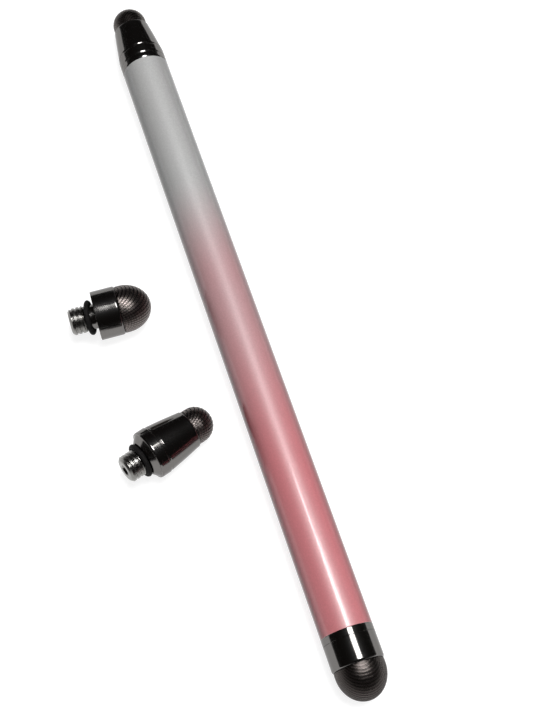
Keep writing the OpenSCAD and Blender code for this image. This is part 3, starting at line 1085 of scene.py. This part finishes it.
@dataclass(frozen=True)
class PenBody:
    """The lacquered barrel and the end bushes pressed into it, in millimetres."""

    half: float = 58.0
    radius: float = 4.5
    bore: float = 3.6
    bevel: float = 0.12
    ring: float = 1.2
    spigot: float = 3.57
    spigot_end: float = -10.2
    socket: float = 2.5
    pocket: float = 3.27
    pocket_floor: float = -2.06
    seat_floor: float = -0.89
    seat_mouth: float = 4.28
    back_bevel: float = 0.27
    back_radius: float = 4.4

    def bush_corners(self, side: float) -> Corners:
        """Give a bush's corners.

        Args:
            side: Above 0 for the large end's flat mouth, below 0 for the small end's conical one.

        Returns:
            The closed outline's corners, in millimetres.
        """
        if side > 0:
            mouth, back = [(self.pocket, 0.0, 0.1)], [(self.radius, -self.ring, 0.06)]
        else:
            mouth = [(self.pocket, self.seat_floor, 0.05), (self.seat_mouth, 0.0, 0.05)]
            back = [(self.radius, self.back_bevel - self.ring, 0.12), (self.back_radius, -self.ring, 0.03)]
        return [(self.socket, self.pocket_floor, 0.03), (self.pocket, self.pocket_floor, 0.05), *mouth,
                (self.radius, 0.0, 0.05), *back, (self.spigot, -self.ring),
                (self.spigot, self.spigot_end, 0.3), (self.socket, self.spigot_end)]

    def build(self) -> None:
        """Make the barrel and both bushes."""
        middle = Place((0.0, 0.0, 0.0), (1.0, 0.0, 0.0), "barrel")
        tube = [(self.bore, -self.half), (self.radius, -self.half, self.bevel),
                (self.radius, self.half, self.bevel), (self.bore, self.half)]
        add_turned("lacquered_tube", tube, middle, PearlLacquer().build(), "barrel_tube")
        for end, side in (("large", 1.0), ("small", -1.0)):
            node = f"{end}_end_bush"
            place = Place((side * (self.half + self.ring) * MM, 0.0, 0.0), (side, 0.0, 0.0), "barrel")
            add_turned(f"{end}_turned_bush", self.bush_corners(side), place, BLACK_CHROME.build(place, node),
                       node)


@dataclass(frozen=True)
class Lamp:
    """A soft box lamp that faces the pen: its centre, and its width along X and depth along Y, in metres."""

    name: str
    place: Triple
    size: Pair
    watts: float
    in_gloss: bool

    def hang(self) -> None:
        """Put the lamp in the scene."""
        data = bpy.data.lights.new(self.name, "AREA")
        data.shape = "RECTANGLE"
        data.size, data.size_y = self.size
        data.energy = self.watts
        lamp = add_object(self.name, data)
        lamp.location = self.place
        lamp.rotation_euler = Vector(self.place).to_track_quat("Z", "Y").to_euler()
        lamp.visible_glossy = self.in_gloss


LAMPS = (Lamp("key", (-0.015, 0.182, 1.0), (0.33, 0.364), 4.5, True),
         Lamp("key_middle", (-0.05, 0.165, 0.99), (0.42, 0.13), 3.4, True),
         Lamp("key_spread", (-0.03, 0.2, 1.1), (0.5, 0.5), 3.6, False),
         Lamp("fill_above", (0.0, 0.5, 1.8), (2.4, 2.4), 20.0, False),
         Lamp("fill_side", (0.2, 1.6, 0.5), (1.6, 0.9), 3.5, False))


@dataclass(frozen=True)
class Studio:
    """Camera, floor, world and lamps."""

    camera_place: Triple = (89.713 * MM, -23.6 * MM, 205.784 * MM)
    camera_forward: Triple = (-0.36484, 0.12153, -0.92310)
    camera_up: Triple = (-0.87481, 0.29466, 0.38455)
    lens_mm: float = 62.6
    sensor_mm: float = 36.0
    clip: Pair = (0.005, 100.0)
    floor_radius: float = 12.0
    floor_sides: int = 64
    floor_grey: float = 0.8
    floor_grey_seen: float = 0.28
    floor_glow: float = 0.84
    horizon: Triple = (0.8, 0.8, 0.8)
    dome: Triple = (0.02, 0.0175, 0.0165)

    def make_camera(self) -> None:
        """Place the camera at the photograph's angle."""
        data = bpy.data.cameras.new("camera")
        data.lens = self.lens_mm
        data.sensor_width = self.sensor_mm
        data.sensor_fit = "AUTO"
        data.clip_start, data.clip_end = self.clip
        camera = add_object("camera", data)
        back = -Vector(self.camera_forward).normalized()
        up = Vector(self.camera_up)
        up = (up - back * back.dot(up)).normalized()
        turned = Matrix((up.cross(back), up, back)).transposed().to_4x4()
        camera.matrix_world = Matrix.Translation(Vector(self.camera_place)) @ turned
        bpy.context.scene.camera = camera

    def make_floor(self) -> None:
        """Lay a plain floor under the pen, white to the camera and in reflections."""
        radius, level = self.floor_radius, CAD_BOX[0].z
        angles = (math.tau * i / self.floor_sides for i in range(self.floor_sides))
        corners = [(radius * math.cos(angle), radius * math.sin(angle), level) for angle in angles]
        mesh = bpy.data.meshes.new("floor")
        mesh.from_pydata(corners, [], [tuple(range(self.floor_sides))])
        material = bpy.data.materials.new("floor_white")
        sheet = NodeSheet.cleared(material)
        path = sheet.wires(sheet.add("ShaderNodeLightPath"))
        seen = sheet.math("MAXIMUM", path["Is Camera Ray"],
                          sheet.math("MAXIMUM", path["Is Glossy Ray"], path["Is Transmission Ray"]))
        grey = sheet.ramp(seen, 0.0, 1.0, self.floor_grey, self.floor_grey_seen)
        diffuse = sheet.out("ShaderNodeBsdfDiffuse", {"Color": sheet.vector(grey, grey, grey)})
        glow = sheet.out("ShaderNodeEmission", {"Color": (1.0, 1.0, 1.0), "Strength": seen * self.floor_glow})
        total = sheet.out("ShaderNodeAddShader", {0: diffuse, 1: glow})
        sheet.add("ShaderNodeOutputMaterial", {"Surface": total})
        add_object("floor", mesh, material)

    def make_world(self) -> None:
        """Make a dim studio dome with a pale band at the horizon."""
        world = bpy.data.worlds.new("studio")
        bpy.context.scene.world = world
        sheet = NodeSheet.cleared(world)
        height = sheet.xyz(sheet.out("ShaderNodeTexCoord", output="Generated"))[2]
        colour = sheet.mix(sheet.ramp(height, 0.01, 0.07), self.horizon, self.dome)
        background = sheet.out("ShaderNodeBackground", {"Color": colour, "Strength": 1.0})
        sheet.add("ShaderNodeOutputWorld", {"Surface": background})

    def build(self) -> None:
        """Set up the whole studio."""
        self.make_camera()
        self.make_floor()
        self.make_world()
        for lamp in LAMPS:
            lamp.hang()
        bpy.context.scene.view_settings.view_transform = "Standard"


def tip_places() -> dict[str, Place]:
    """Find where each tip lies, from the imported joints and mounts.

    Returns:
        Each tip's place, by the name of its body.
    """
    places = {}
    for kind in Kind:
        tip = f"{kind.value}_tip"
        joint = next(j for j in frame["joints"] if j["name"] == f"{tip}_screw")
        places[tip] = Place(tuple(joint["pos_m"]), tuple(joint["axis"]), joint["child"])
        mount = next(m for m in frame["record"]["mounts"] if m["name"] == f"spare_{kind.value}_stud")
        axis = -Vector(mount["axis"])
        origin = Vector(mount["pos_m"]) - axis * STUD_MIDDLE
        places[f"spare_{tip}"] = Place(tuple(origin), tuple(axis), f"spare_{tip}")
    return places


def main() -> None:
    """Build the studio, the pen and its four tips."""
    logging.basicConfig(level=logging.INFO, format="%(message)s")
    Studio().build()
    PenBody().build()
    places = tip_places()
    sizes = {kind: TipSize.measured(kind, places[f"{kind.value}_tip"], cup_r, run)
             for kind, cup_r, run in ((Kind.LARGE, 4.2 * MM, 0.5 * MM), (Kind.SMALL, 3.2 * MM, 1.0 * MM))}
    cloths = {"large_tip": PURL_NEAR, "small_tip": FACE_FAR, "spare_large_tip": FACE_SPARE,
              "spare_small_tip": FACE_SMALL}
    for name, place in places.items():
        kind = Kind.LARGE if "large" in name else Kind.SMALL
        seal_body = name if name.startswith("spare") else f"{kind.value}_seal"
        tip = Tip(name, kind, place, seal_body, sizes[kind], cloths[name])
        if name == "spare_large_tip":
            tip.seal_slide, tip.seal_side = 0.4545 * MM, math.radians(42.0)
            tip.chrome = HANDLED_CHROME
        tip.build()


if __name__ == "__main__":
    main()
